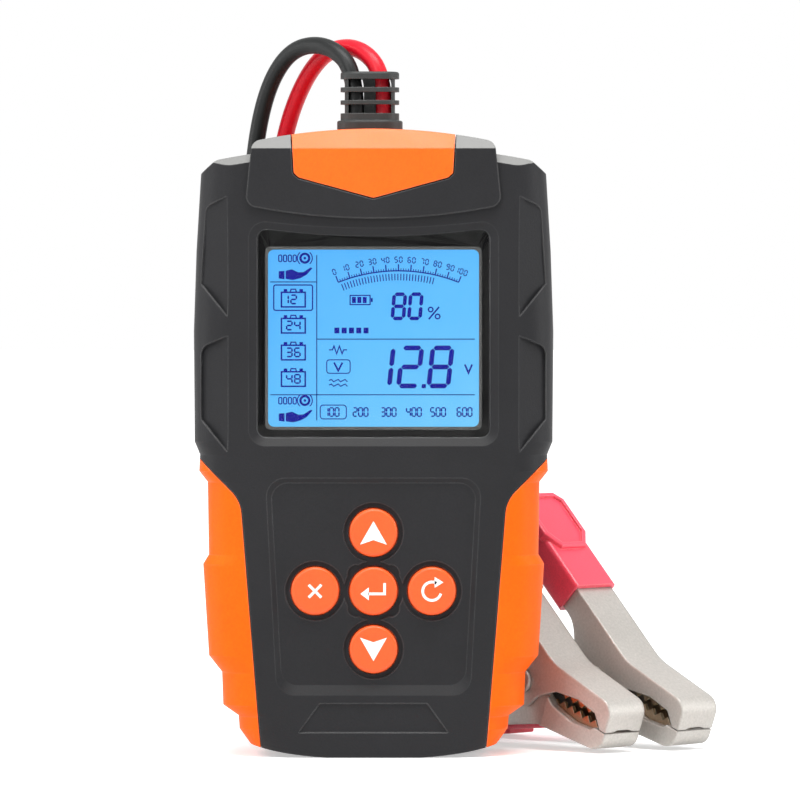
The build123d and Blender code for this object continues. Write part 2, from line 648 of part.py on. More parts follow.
def spring_coil(wire, turns, centre):
    """Ribbed ring that stands for several close turns of spring wire round the rivet."""
    inner = RIVET_D / 2 + 1.1
    edges = [Line((inner, turns * wire), (inner, 0)), Line((inner, 0), (inner + wire / 2, 0))]
    for i in range(turns):
        low = i * wire
        edges.append(ThreePointArc((inner + wire / 2, low), (inner + wire, low + wire / 2),
                                   (inner + wire / 2, low + wire)))
    edges.append(Line((inner + wire / 2, turns * wire), (inner, turns * wire)))
    solid = revolve(Plane.XZ * make_face(edges), axis=Axis.Z)
    return Pos(0, centre + turns * wire / 2, 0) * Rot(X=90) * solid


def spring_parts():
    wire = 1.3
    fixed = spring_coil(wire, 4, -0.8)
    moving = spring_coil(wire, 1, 2.6)
    reach = RIVET_D / 2 + 1.1 + wire / 2
    for sign in (-1, 1):
        leg = Pos(-9, 0, 0) * Rot(Y=90) * Cylinder(wire / 2, 18)
        y = 2.6 if sign > 0 else -2.8
        turned = Rot(Y=sign * 17) * Pos(0, y, sign * reach) * leg
        if sign > 0:
            moving += turned
        else:
            fixed += turned
    return fixed, moving


def handle_frame(back, depth):
    """Frame on the upper handle: local X runs back along it, local Z stands out of its plate."""
    x, z = on_handle(back, depth)
    return Pos(x, 0, z) * Rot(Y=HANDLE_ANGLE) * Rot(Z=180)


def sleeve(width, cable_hole):
    """Moulded sleeve on a handle, with a rimmed thumb pad; made for the upper handle."""
    mouth = HANDLE_LEN - SLEEVE_LEN
    length = SLEEVE_LEN + 2.0
    height = FLANGE_DEPTH + 2 * SLEEVE_T + 0.2
    outer = Pos(length / 2, 0, SLEEVE_T - height / 2) * Box(length, width + 2 * 0.9, height)
    outer = fillet(outer.edges().filter_by(Axis.X), 1.2)
    outer = fillet(outer.edges().group_by(Axis.X)[-1].filter_by(Axis.Y), 2.0)
    pad = make_face(Polyline((13, -4.6), (13, 4.6), (18, 8.2), (30, 8.2), (32.6, 5.6), (32.6, -5.6),
                             (30, -8.2), (18, -8.2), close=True))
    plate = extrude(pad, amount=SLEEVE_T + 1.3)
    plate = fillet(plate.edges().group_by(Axis.Z)[-1], 0.6)
    plate -= Pos(0, 0, SLEEVE_T + 0.6) * extrude(offset(pad, -1.5), amount=3)
    body = outer + plate
    inner = Pos(length / 2 - 1.8, 0, 0.1 - (FLANGE_DEPTH + 0.3) / 2)
    body -= inner * Box(length, width + 0.2, FLANGE_DEPTH + 0.3)
    if cable_hole:
        body -= Pos(length, 0, -(SHEET + 0.3 + CABLE_D / 2)) * Rot(Y=90) * Cylinder(CABLE_D / 2 + 0.2, 8)
    return handle_frame(mouth, 0) * body


def contact_strip():
    """Toothed strip riveted under the upper jaw."""
    left = 10.5
    count = 6
    points = [(left, 5.8), (left + count * TOOTH + 0.5, 4.2)]
    for i in range(count, 0, -1):
        x = left + i * TOOTH
        points.append((x, 0.4))
        points.append((x - TOOTH * 0.55, 1.9))
    points.append((left, 0.9))
    face = make_face(Polyline(points, close=True))
    strip = thick(face, 7.6)
    channel = make_face(Polyline((left - 1, 4.7), (left + count * TOOTH + 2, 3.1),
                                 (left + count * TOOTH + 2, -3), (left - 1, -3), close=True))
    return strip - thick(channel, 5.6)


def clamp_local():
    fixed_spring, moving_spring = spring_parts()
    lower_sleeve = mirror(sleeve(LOWER_W, True), Plane.XY)
    return {"upper_lever": upper_lever(), "lower_lever": lower_lever(), "rivet": rivet(),
            "spring": fixed_spring, "spring_arm": moving_spring,
            "upper_sleeve": sleeve(CLAMP_W, False), "lower_sleeve": lower_sleeve,
            "upper_contact": contact_strip(), "lower_contact": mirror(contact_strip(), Plane.XY)}


def clamp_tilt():
    """Nose-down angle at which nose and lower sleeve both rest on the surface."""
    heel = on_handle(HANDLE_LEN + 0.5, -SLEEVE_T)
    return degrees(atan2(heel[1] - NOSE_TOP, NOSE_X - 2.5 - heel[0]))


def place_clamp(parts, pivot):
    turned = Rot(Z=CLAMP_YAW) * Rot(Y=clamp_tilt())
    resting = [turned * parts[n] for n in ("lower_lever", "lower_sleeve")]
    low = min(solid.bounding_box().min.Z for solid in resting)
    move = Pos(pivot[0], pivot[1], -low) * turned
    return {name: move * solid for name, solid in parts.items()}, move


def ring(z_low):
    """Outer shape of a coil of cable that lies flat."""
    half = COIL_H / 2
    profile = Pos(COIL_R, half) * RectangleRounded(CABLE_D, COIL_H, CABLE_D / 2 - 0.05)
    solid = revolve(Plane.XZ * profile, axis=Axis.Z)
    return Pos(COIL_X, COIL_Y, z_low) * solid


def cable_tie():
    """Strap round both coils at their front, with its ratchet head."""
    y = COIL_Y - COIL_R
    height = 2 * COIL_H + 0.1 + COIL_Z
    middle = (height + TIE_T) / 2
    outer = Pos(COIL_X, y, middle) * Box(4.0, CABLE_D + 0.4 + 2 * TIE_T, height + TIE_T)
    hole = Pos(COIL_X, y, (height + COIL_Z) / 2) * Box(5.0, CABLE_D + 0.4, height - COIL_Z + 0.04)
    head = Pos(COIL_X, y - CABLE_D / 2 - TIE_T - 2.0, height * 0.6) * Box(5.4, 4.2, 5.6)
    return (outer - hole) + fillet(head.edges(), 0.5)


def main():
    parts = {}
    shapes = outline_shapes()
    parts["front_cover"] = front_cover(*shapes)
    parts["rear_cover"] = rear_cover(*shapes)
    parts.update(grips())
    parts["top_trim"] = top_trim()
    parts.update(display())
    for name, step in KEYS.items():
        parts[name] = button(key_place(step))
    parts["keypad_mat"] = keypad_mat()
    parts.update(board_parts())
    parts["case_screws"] = case_screws()
    parts["cable_boot"] = cable_boot([BLACK_ROUTE, RED_ROUTE])
    parts["inner_lead_black"] = inner_lead(-1)
    parts["inner_lead_red"] = inner_lead(1)
    parts.update(cord_clamp())
    local = clamp_local()
    for colour, pivot in (("black", BLACK_PIVOT), ("red", RED_PIVOT)):
        placed, move = place_clamp(local, pivot)
        for name, solid in placed.items():
            parts["clamp_" + colour + "_" + name] = solid
        print(colour, "pivot", move.position)
    parts["cable_black"] = tube(BLACK_ROUTE, CABLE_D)
    parts["cable_red"] = tube(RED_ROUTE, CABLE_D)
    parts["cable_black_tail"] = tube(BLACK_TAIL, CABLE_D)
    parts["cable_red_tail"] = tube(RED_TAIL, CABLE_D)
    for colour, route in (("black", BLACK_TAIL), ("red", RED_TAIL)):
        parts["clamp_" + colour + "_lower_sleeve"] -= tube(route, CABLE_D + 0.4)
    parts["coil_black"] = ring(COIL_Z)
    parts["coil_red"] = ring(COIL_Z + COIL_H + 0.05)
    parts["cable_tie"] = cable_tie()
    for name, solid in parts.items():
        export_step(solid, "parts/" + name + ".step")
    print(len(parts), "nodes")


main()
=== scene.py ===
import json
from math import cos, hypot, pi, radians, sin

import bmesh
import bpy
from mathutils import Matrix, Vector


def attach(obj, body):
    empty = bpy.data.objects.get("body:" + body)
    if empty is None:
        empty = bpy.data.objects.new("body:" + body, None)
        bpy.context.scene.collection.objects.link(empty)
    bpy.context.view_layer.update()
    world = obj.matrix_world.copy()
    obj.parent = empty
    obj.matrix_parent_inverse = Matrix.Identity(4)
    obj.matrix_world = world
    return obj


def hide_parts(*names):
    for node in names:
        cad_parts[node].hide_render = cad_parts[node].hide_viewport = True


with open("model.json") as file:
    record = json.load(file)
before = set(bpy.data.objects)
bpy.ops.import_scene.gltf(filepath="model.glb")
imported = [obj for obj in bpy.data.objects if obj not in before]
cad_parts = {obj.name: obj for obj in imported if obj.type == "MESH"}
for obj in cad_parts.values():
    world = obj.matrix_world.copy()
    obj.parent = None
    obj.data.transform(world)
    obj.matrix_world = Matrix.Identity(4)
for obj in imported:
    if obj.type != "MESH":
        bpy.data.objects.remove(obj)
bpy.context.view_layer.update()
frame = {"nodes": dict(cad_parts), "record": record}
NODES = frame["nodes"]
MM = 0.001

# Places from the CAD source, in millimetres
LCD_Y = -10.7
LENS_REAR = -12.45
KEY_Y = -15.7
KEY_MID_Z = 43.5
KEY_PITCH = 15.2
CABLE_D = 4.5
TURNS = (2.95, 7.45, 12.0, 16.5)
FLOOR_Z = 2.3

# The coil's middle is a little nearer the front and the right than its CAD ring, so it stays behind the foot
COIL_X, COIL_Y, COIL_R = -12.0, 87.15, 22.5
COIL_LEFT = COIL_X - COIL_R
STEPS = 16

# How far thin pieces stand off the surface they lie on, and how far they sink in
INK_PROUD, LINE_PROUD, LEGEND_PROUD = 0.05, 0.04, 0.05
INK_SINK, LEGEND_SINK = 0.01, 0.02
BORDER_FRONT, BORDER_REAR = LENS_REAR + 0.05, LENS_REAR + 0.35

# Painted top light: slopes that face up are painted paler, as light from above would show them, most of all
# above this height, in metres
PAINTED_LIGHT_LOW, PAINTED_LIGHT_HIGH, PAINTED_LIGHT_BELOW = 0.138, 0.148, 0.2
PAINTED_LIGHT_TONE = (150, 150, 148)
SEAM_HALF = 0.00013

# ---------------------------------------------------------------- helpers


def rgb(r, g, b):
    """Linear colour of an 8-bit sRGB one."""
    line = [c / 255 for c in (r, g, b)]
    return tuple(c / 12.92 if c <= 0.04045 else ((c + 0.055) / 1.055) ** 2.4 for c in line) + (1.0,)


def add(nt, kind, props=None, **inputs):
    """New shader node; inputs are values or sockets to link."""
    made = nt.nodes.new("ShaderNode" + kind)
    for key, value in (props or {}).items():
        setattr(made, key, value)
    for key, value in inputs.items():
        numbered = key[0] == "i" and key[1:].isdigit()
        socket = made.inputs[int(key[1:]) if numbered else key.replace("_", " ")]
        if isinstance(value, bpy.types.NodeSocket):
            nt.links.new(value, socket)
        else:
            socket.default_value = value
    return made


def ramp(nt, factor, stops):
    made = add(nt, "ValToRGB", Fac=factor)
    line = made.color_ramp.elements
    while len(line) < len(stops):
        line.new(0.5)
    for element, (place, colour) in zip(line, stops):
        element.position = place
        element.color = colour
    return made.outputs["Color"]


def tones(colour, spread):
    """Darker and lighter version of a colour."""
    return [tuple(min(1.0, c * (1 + k * spread)) for c in colour[:3]) + (1.0,) for k in (-1, 1)]


def new_material(name):
    made = bpy.data.materials.new(name)
    made.use_nodes = True
    nt = made.node_tree
    return made, nt, nt.nodes["Principled BSDF"]


def finish(name, colour, rough, spread=0.12, patch=60, grain=2600, depth=0.06, edge=0.35, edge_paling=0.0,
           seam=None, painted_top_light=0.0, **constants):
    """Moulded or plated surface: soft two-tone patches, fine bump grain, uneven roughness, softened edges.

    depth, edge and seam are in millimetres; seam is the Y of a dark joint line, and the painted top light
    sets how much paler the slopes that face up are: painted light from above, not their own tone.
    """
    made, nt, shader = new_material(name)
    place = add(nt, "TexCoord").outputs["Object"]
    cloud = add(nt, "TexNoise", Vector=place, Scale=patch, Detail=5.0, Roughness=0.65).outputs["Fac"]
    fine = add(nt, "TexNoise", Vector=place, Scale=grain, Detail=3.0, Roughness=0.6).outputs["Fac"]
    low, high = tones(colour, spread)
    tone = ramp(nt, cloud, [(0.32, low), (0.68, high)])
    speck = ramp(nt, fine, [(0.3, (0.82, 0.82, 0.82, 1)), (0.7, (1, 1, 1, 1))])
    mixed = add(nt, "Mix", {"data_type": "RGBA", "blend_type": "MULTIPLY"},
                i0=1.0, i6=tone, i7=speck).outputs[2]
    rounded = add(nt, "Bevel", {"samples": 4}, Radius=edge * MM).outputs["Normal"]
    # Edges paler in patches: bevelled edges are mixed toward a paler tone, broken up by the patch noise
    if edge_paling:
        flat = add(nt, "NewGeometry").outputs["Normal"]
        turn = add(nt, "VectorMath", {"operation": "DOT_PRODUCT"}, i0=flat, i1=rounded).outputs["Value"]
        edge_paling_mask = add(nt, "MapRange", Value=turn, i1=0.995, i2=0.86, i3=0.0, i4=edge_paling).outputs["Result"]
        patchy_edge_paling = add(nt, "Math", {"operation": "MULTIPLY"}, i0=edge_paling_mask, i1=cloud).outputs["Value"]
        pale = tuple(c + (1 - c) * 0.28 for c in colour[:3]) + (1.0,)
        mixed = add(nt, "Mix", {"data_type": "RGBA"}, i0=patchy_edge_paling, i6=mixed, i7=pale).outputs[2]
    if seam is not None:
        y = add(nt, "SeparateXYZ", Vector=place).outputs["Y"]
        off = add(nt, "Math", {"operation": "COMPARE"}, i0=y, i1=seam * MM, i2=SEAM_HALF).outputs["Value"]
        dark = (0.004, 0.004, 0.004, 1)
        mixed = add(nt, "Mix", {"data_type": "RGBA"}, i0=off, i6=mixed, i7=dark).outputs[2]
    # Painted top light: slopes that face up, most of all near the top, are mixed toward a pale grey in place
    # of light from above
    if painted_top_light:
        up = add(nt, "SeparateXYZ", Vector=add(nt, "NewGeometry").outputs["Normal"]).outputs["Z"]
        height_up = add(nt, "SeparateXYZ", Vector=place).outputs["Z"]
        slope = add(nt, "MapRange", Value=up, i1=0.2, i2=0.6, i3=0.0, i4=painted_top_light).outputs["Result"]
        near_top = add(nt, "MapRange", Value=height_up, i1=PAINTED_LIGHT_LOW, i2=PAINTED_LIGHT_HIGH,
                       i3=PAINTED_LIGHT_BELOW, i4=1.0).outputs["Result"]
        painted_top_light_mask = add(nt, "Math", {"operation": "MULTIPLY"}, i0=slope, i1=near_top).outputs["Value"]
        mixed = add(nt, "Mix", {"data_type": "RGBA"}, i0=painted_top_light_mask, i6=mixed, i7=rgb(*PAINTED_LIGHT_TONE)).outputs[2]
    nt.links.new(mixed, shader.inputs["Base Color"])
    uneven = add(nt, "MapRange", Value=cloud, i1=0.35, i2=0.65, i3=rough - 0.05, i4=rough + 0.05)
    nt.links.new(uneven.outputs["Result"], shader.inputs["Roughness"])
    bump = add(nt, "Bump", Strength=1.0, Distance=depth * MM, Height=fine, Normal=rounded)
    nt.links.new(bump.outputs["Normal"], shader.inputs["Normal"])
    for key, value in constants.items():
        shader.inputs[key.replace("_", " ")].default_value = value
    return made


def mesh_piece(name, bm, material, body):
    """Object from a bmesh, riding its body when it has one."""
    bmesh.ops.recalc_face_normals(bm, faces=bm.faces)
    mesh = bpy.data.meshes.new(name)
    bm.to_mesh(mesh)
    bm.free()
    mesh.materials.append(material)
    made = bpy.data.objects.new(name, mesh)
    bpy.context.scene.collection.objects.link(made)
    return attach(made, body) if body else made


def plate(name, outlines, front, rear, material, body="root"):
    """Thin piece from flat outlines, each a list of X and Z in millimetres."""
    bm = bmesh.new()
    for outline in outlines:
        near = [bm.verts.new((x * MM, front * MM, z * MM)) for x, z in outline]
        far = [bm.verts.new((x * MM, rear * MM, z * MM)) for x, z in outline]
        bm.faces.new(near)
        bm.faces.new(far[::-1])
        for i in range(len(near)):
            j = (i + 1) % len(near)
            bm.faces.new((near[i], far[i], far[j], near[j]))
    return mesh_piece(name, bm, material, body)


def stroke(points, width, closed=False):
    """Quads along a line, mitred at its corners."""
    count = len(points)
    sides = []
    for i, (x, z) in enumerate(points):
        before = points[i - 1] if closed or i else None
        after = points[(i + 1) % count] if closed or i < count - 1 else None
        ways = []
        for a, b in ((before, (x, z)), ((x, z), after)):
            if a and b:
                size = hypot(b[0] - a[0], b[1] - a[1])
                ways.append(((b[0] - a[0]) / size, (b[1] - a[1]) / size))
        dx, dz = ways[0][0] + ways[-1][0], ways[0][1] + ways[-1][1]
        size = hypot(dx, dz)
        dx, dz = dx / size, dz / size
        reach = width / 2 / max(0.35, dx * ways[0][0] + dz * ways[0][1])
        sides.append(((x - dz * reach, z + dx * reach), (x + dz * reach, z - dx * reach)))
    last = count if closed else count - 1
    return [[sides[i][0], sides[(i + 1) % count][0], sides[(i + 1) % count][1], sides[i][1]]
            for i in range(last)]


def arc_points(x, z, radius, start, end, count):
    """Points along an arc between two angles in degrees, ends included."""
    turns = [radians(start + (end - start) * i / count) for i in range(count + 1)]
    return [(x + radius * cos(a), z + radius * sin(a)) for a in turns]


def round_box(x0, z0, x1, z1, radius, count=5):
    """Outline of a box with rounded corners."""
    corners = [(x1 - radius, z1 - radius, 0), (x0 + radius, z1 - radius, 90),
               (x0 + radius, z0 + radius, 180), (x1 - radius, z0 + radius, 270)]
    return [p for x, z, a in corners for p in arc_points(x, z, radius, a, a + 90, count)]


def disc(x, z, radius, count=24):
    return arc_points(x, z, radius, 0, 360, count)[:-1]


SEGMENTS = {"0": "abcdef", "1": "bc", "2": "abged", "3": "abgcd", "4": "fgbc", "5": "afgcd",
            "6": "afgedc", "7": "abc", "8": "abcdefg", "9": "abcdfg"}


def digit(char, x, z, wide, high, thick, lean=0.0):
    """Seven-segment digit with its lower left corner at x, z."""
    half = high / 2
    ends = {"a": (0, high, wide, high), "g": (0, half, wide, half), "d": (0, 0, wide, 0),
            "f": (0, half, 0, high), "b": (wide, half, wide, high),
            "e": (0, 0, 0, half), "c": (wide, 0, wide, half)}
    shapes = []
    for key in SEGMENTS[char]:
        x0, z0, x1, z1 = ends[key]
        size = hypot(x1 - x0, z1 - z0)
        ux, uz = (x1 - x0) / size, (z1 - z0) / size
        line = []
        for along, side in ((0.12, 0), (0.55, 1), (-0.55, 1), (-0.12, 0), (-0.55, -1), (0.55, -1)):
            base = (x0, z0) if along > 0 else (x1, z1)
            px = base[0] + ux * along * thick - uz * side * thick / 2
            pz = base[1] + uz * along * thick + ux * side * thick / 2
            line.append((x + px + lean * pz, z + pz))
        shapes.append(line)
    return shapes


def number(text, x, z, wide, high, thick, gap, lean=0.0):
    """Row of digits; a 1 takes less room than the others."""
    shapes = []
    for char in text:
        if char == "1":
            shapes += digit(char, x - wide * 0.55, z, wide, high, thick, lean)
            x += wide * 0.45 + gap
        else:
            shapes += digit(char, x, z, wide, high, thick, lean)
            x += wide + gap
    return shapes


def moved(shapes, x, z, turn=0.0):
    """Shapes turned about their origin by degrees, then moved."""
    c, s = cos(radians(turn)), sin(radians(turn))
    return [[(x + px * c - pz * s, z + px * s + pz * c) for px, pz in shape] for shape in shapes]


# ---------------------------------------------------------------- camera

SENSOR = 36.0
SCALE_WIDTH = 208.0  # width of the view at the target, in millimetres
DISTANCE = 1500.0
TILT = 1.0
TARGET = Vector((6.9, -14.8, 93.2)) * MM
camera_data = bpy.data.cameras.new("camera")
camera_data.sensor_width = SENSOR
camera_data.lens = SENSOR * DISTANCE / SCALE_WIDTH
camera_data.clip_start = 0.05
camera = bpy.data.objects.new("camera", camera_data)
bpy.context.scene.collection.objects.link(camera)
away = Vector((0, -cos(radians(TILT)), sin(radians(TILT)))) * DISTANCE * MM
camera.location = TARGET + away
camera.rotation_euler = (radians(90 - TILT), 0, 0)
bpy.context.scene.camera = camera

# ---------------------------------------------------------------- materials

# The case gets painted top light on its slopes that face up
CASE = finish("case", rgb(31, 31, 33), 0.5, 0.1, 45, 2100, 0.05, 0.5, edge_paling=0.5, seam=1.0, painted_top_light=0.65,
              Specular_IOR_Level=0.18)
ORANGE = finish("orange_grip", rgb(252, 98, 1), 0.5, 0.05, 50, 1500, 0.02, 0.5, edge_paling=0.5,
                Specular_IOR_Level=0.15)
TRIM = finish("orange_trim", rgb(252, 100, 5), 0.4, 0.03, 60, 1900, 0.012, 0.5, edge_paling=0.4,
              Specular_IOR_Level=0.35)
KEY = finish("key", rgb(247, 92, 36), 0.36, 0.04, 120, 2400, 0.015, 0.3, edge_paling=0.6,
             Specular_IOR_Level=0.35)
BOOT = finish("boot", rgb(32, 34, 33), 0.5, 0.12, 90, 2600, 0.05, 0.3, edge_paling=0.5,
              Specular_IOR_Level=0.4)
CORD_BLACK = finish("cord_black", rgb(16, 18, 18), 0.42, 0.12, 70, 1800, 0.03, 0.1,
                    Specular_IOR_Level=0.25)
CORD_RED = finish("cord_red", rgb(212, 14, 36), 0.38, 0.08, 70, 1800, 0.03, 0.1,
                  Specular_IOR_Level=0.25)
SLEEVE_BLACK = finish("sleeve_black", rgb(36, 37, 38), 0.42, 0.12, 80, 2200, 0.04, 0.4, edge_paling=0.5)
SLEEVE_RED = finish("sleeve_red", rgb(255, 78, 100), 0.34, 0.06, 80, 2200, 0.03, 0.6, edge_paling=0.8)
NICKEL = finish("nickel", rgb(184, 180, 174), 0.42, 0.03, 60, 1600, 0.004, 0.9, Metallic=0.45)
STEEL = finish("steel", rgb(176, 174, 170), 0.3, 0.1, 150, 2400, 0.02, 0.15, Metallic=1.0)
BRASS = finish("contact", rgb(206, 190, 164), 0.32, 0.08, 150, 2200, 0.02, 0.2, Metallic=1.0)
TIE = finish("tie", rgb(34, 34, 35), 0.45, 0.1, 120, 3000, 0.03, 0.2)
TRAY = finish("tray", rgb(24, 24, 24), 0.55, 0.1, 100, 3000, 0.03, 0.2)
PALE = finish("pale_plastic", rgb(225, 225, 220), 0.5, 0.04, 100, 2500, 0.02, 0.2)
MAT = finish("silicone", rgb(120, 122, 124), 0.6, 0.08, 100, 2500, 0.03, 0.2)
BOARD = finish("board", rgb(22, 92, 48), 0.35, 0.14, 220, 1400, 0.02, 0.1)
PRINT = finish("white_print", rgb(250, 248, 244), 0.5, 0.03, 300, 4000, 0.01, 0.05)
# the lens keeps light off the border, so a faint glow stands in for it
BORDER = finish("black_print", rgb(48, 48, 47), 0.35, 0.08, 120, 4000, 0.01, 0.05,
                Emission_Strength=0.025)


def screen():
    """Backlit display: blue light that is a little uneven and paler at its lower right."""
    made, nt, shader = new_material("display")
    place = add(nt, "TexCoord").outputs["Object"]
    parts = add(nt, "SeparateXYZ", Vector=place)
    down = add(nt, "MapRange", Value=parts.outputs["Z"],
               i1=0.132, i2=0.086, i3=0.0, i4=0.55).outputs["Result"]
    across = add(nt, "MapRange", Value=parts.outputs["X"],
                 i1=-0.028, i2=0.028, i3=0.0, i4=0.35).outputs["Result"]
    cloud = add(nt, "TexNoise", Vector=place, Scale=45.0, Detail=2.0).outputs["Fac"]
    soft = add(nt, "MapRange", Value=cloud, i1=0.3, i2=0.7, i3=-0.06, i4=0.06).outputs["Result"]
    total = add(nt, "Math", {"operation": "ADD"}, i0=down, i1=across).outputs["Value"]
    total = add(nt, "Math", {"operation": "ADD"}, i0=total, i1=soft).outputs["Value"]
    glow = ramp(nt, total, [(0.0, rgb(80, 176, 250)), (0.5, rgb(92, 188, 254)), (1.0, rgb(122, 206, 255))])
    nt.links.new(glow, shader.inputs["Emission Color"])
    shader.inputs["Base Color"].default_value = (0.01, 0.02, 0.03, 1)
    shader.inputs["Emission Strength"].default_value = 1.0
    fine = add(nt, "TexNoise", Vector=place, Scale=5000.0, Detail=1.0).outputs["Fac"]
    bump = add(nt, "Bump", Strength=0.3, Distance=0.01 * MM, Height=fine)
    nt.links.new(bump.outputs["Normal"], shader.inputs["Normal"])
    shader.inputs["Roughness"].default_value = 0.45
    shader.inputs["Specular IOR Level"].default_value = 0.1
    return made


def segment_ink(name, colour):
    """Liquid crystal segments: dark, with a little of the backlight in them."""
    made, nt, shader = new_material(name)
    place = add(nt, "TexCoord").outputs["Object"]
    cloud = add(nt, "TexNoise", Vector=place, Scale=900.0, Detail=2.0).outputs["Fac"]
    low, high = tones(colour, 0.15)
    ink = ramp(nt, cloud, [(0.3, low), (0.7, high)])
    nt.links.new(ink, shader.inputs["Emission Color"])
    shader.inputs["Base Color"].default_value = (0.002, 0.002, 0.02, 1)
    shader.inputs["Emission Strength"].default_value = 0.9
    shader.inputs["Roughness"].default_value = 0.5
    shader.inputs["Specular IOR Level"].default_value = 0.1
    return made


def clear_lens():
    """Clear acrylic with faint haze."""
    made, nt, shader = new_material("lens")
    place = add(nt, "TexCoord").outputs["Object"]
    haze = add(nt, "TexNoise", Vector=place, Scale=160.0, Detail=4.0).outputs["Fac"]
    rough = add(nt, "MapRange", Value=haze, i1=0.3, i2=0.7, i3=0.01, i4=0.05)
    nt.links.new(rough.outputs["Result"], shader.inputs["Roughness"])
    tint = ramp(nt, haze, [(0.3, (0.97, 0.98, 0.98, 1)), (0.7, (1, 1, 1, 1))])
    nt.links.new(tint, shader.inputs["Base Color"])
    shader.inputs["Transmission Weight"].default_value = 1.0
    shader.inputs["IOR"].default_value = 1.12
    return made


DISPLAY = screen()
NAVY = segment_ink("segments", rgb(12, 18, 150))
LINES = segment_ink("segment_lines", rgb(14, 50, 140))
LENS = clear_lens()

FINISHES = {
    "case": CASE, "grip": ORANGE, "trim": TRIM, "lens": LENS, "display": DISPLAY, "white_plastic": PALE,
    "tray": TRAY, "strip": MAT, "key": KEY, "mat": MAT, "board": BOARD, "dome": STEEL, "chip": TRAY,
    "capacitor": STEEL, "resistor": PALE, "lug": BRASS, "screw": STEEL, "boot": BOOT,
    "cable_black": CORD_BLACK, "cable_red": CORD_RED, "tie": TIE, "nickel": NICKEL, "spring": STEEL,
    "contact": BRASS, "sleeve_black": SLEEVE_BLACK, "sleeve_red": SLEEVE_RED,
}
for part in frame["record"]["subparts"]:
    for place in NODES[part["node"]].material_slots:
        place.material = FINISHES[part["material_slot"]]

# ---------------------------------------------------------------- leads

BLACK_ROUTE = [(-4.7, 0, 167.0), (-4.7, 0, 179.0), (-11.4, 5.6, 186.4), (-20.8, 13.8, 186.4),
               (-27.4, 20.2, 178.2), (-31.4, 24.0, 163.5), (-33.4, 25.4, 140.0), (-34.6, 25.6, 103.0),
               (-34.0, 26.6, 66.0), (-33.4, 28.4, 36.0), (-32.6, 35.0, 13.5), (-32.4, 48.5, FLOOR_Z),
               (-33.6, 63.0, FLOOR_Z), (COIL_LEFT, 76.0, 2.6), (COIL_LEFT, COIL_Y, TURNS[0])]
RED_ROUTE = [(2.7, 0, 167.0), (2.7, 0, 178.4), (-3.4, 5.4, 185.8), (-11.8, 13.6, 185.8),
             (-18.6, 20.2, 178.0), (-24.2, 24.4, 163.0), (-27.0, 25.6, 140.0), (-27.6, 26.0, 103.0),
             (-26.6, 27.0, 66.0), (-26.6, 28.6, 36.0), (-27.0, 35.4, 13.5), (-28.0, 49.0, 4.4),
             (-30.6, 62.5, 8.2), (-33.8, 75.0, 12.8), (COIL_LEFT, COIL_Y, TURNS[2])]
BLACK_TAIL = [(COIL_X + COIL_R, COIL_Y, TURNS[1]), (8.6, 76.5, 6.8), (6.4, 64.4, 5.9), (12.6, 53.0, 7.0),
              (30.0, 35.5, 8.9), (45.0, 20.6, 10.3)]
RED_TAIL = [(3.9, 103.1, TURNS[3]), (12.0, 93.8, 15.4), (18.2, 84.0, 9.8), (23.4, 73.6, 5.9),
            (33.2, 61.9, 7.1), (48.7, 46.3, 8.7), (64.5, 30.6, 10.3)]


def coil(turns, low, high, climb):
    """Points of a flat coil from its left, clockwise seen from above, that climbs one layer once."""
    count = round(turns * STEPS)
    points = []
    for i in range(1, count):
        t = turns * i / count
        a = pi - 2 * pi * t
        rise = min(1.0, max(0.0, (t - climb[0]) / (climb[1] - climb[0])))
        z = low + (high - low) * rise * rise * (3 - 2 * rise)
        radius = COIL_R + 0.35 * sin(5.1 * t + low)
        points.append((COIL_X + radius * cos(a), COIL_Y + radius * sin(a), z))
    return points


def lead(name, points, material):
    """Round cable along a spline through chosen points."""
    curve = bpy.data.curves.new(name, "CURVE")
    curve.dimensions = "3D"
    spline = curve.splines.new("NURBS")
    spline.points.add(len(points) - 1)
    for place, point in zip(spline.points, points):
        place.co = (point[0] * MM, point[1] * MM, point[2] * MM, 1.0)
    spline.order_u = 3
    spline.use_endpoint_u = True
    curve.resolution_u = 10
    curve.bevel_depth = CABLE_D / 2 * MM
    curve.bevel_resolution = 7
    curve.use_fill_caps = True
    curve.materials.append(material)
    made = bpy.data.objects.new(name, curve)
    bpy.context.scene.collection.objects.link(made)
    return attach(made, "root")


black = lead("lead_black", BLACK_ROUTE + coil(1.5, TURNS[0], TURNS[1], (0.6, 0.88)) + BLACK_TAIL, CORD_BLACK)
red = lead("lead_red", RED_ROUTE + coil(1.375, TURNS[2], TURNS[3], (0.6, 0.9)) + RED_TAIL, CORD_RED)
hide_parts("cable_black", "coil_black", "cable_black_tail")
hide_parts("cable_red", "coil_red", "cable_red_tail")

# ---------------------------------------------------------------- display

BORDER_TOP, BORDER_DIP, BORDER_LOW, BORDER_HW = 137.6, 135.5, 83.7, 30.0
VIEW_HW, VIEW_LOW, VIEW_TOP, VIEW_R = 27.45, 86.2, 132.3, 1.5
VIEW_MID = 110


def border():
    """Black print behind the lens, with a rounded opening for the display."""
    inner = round_box(-VIEW_HW, VIEW_LOW, VIEW_HW, VIEW_TOP, VIEW_R)
    outer = []
    for x, z in inner:
        if abs(x) > VIEW_HW - 0.05 and VIEW_LOW + 1.8 < z < VIEW_TOP - 2.3:
            outer.append((BORDER_HW * (1 if x > 0 else -1), z))
        else:
            k = abs(x) / VIEW_HW
            top = BORDER_DIP + (BORDER_TOP - BORDER_DIP) * k * k
            outer.append((x / VIEW_HW * BORDER_HW, top if z > VIEW_MID else BORDER_LOW))
    quads = []
    count = len(inner)
    for i in range(count):
        j = (i + 1) % count
        quads.append([inner[i], outer[i], outer[j], inner[j]])
    return quads


plate("display_border", border(), BORDER_FRONT, BORDER_REAR, BORDER)

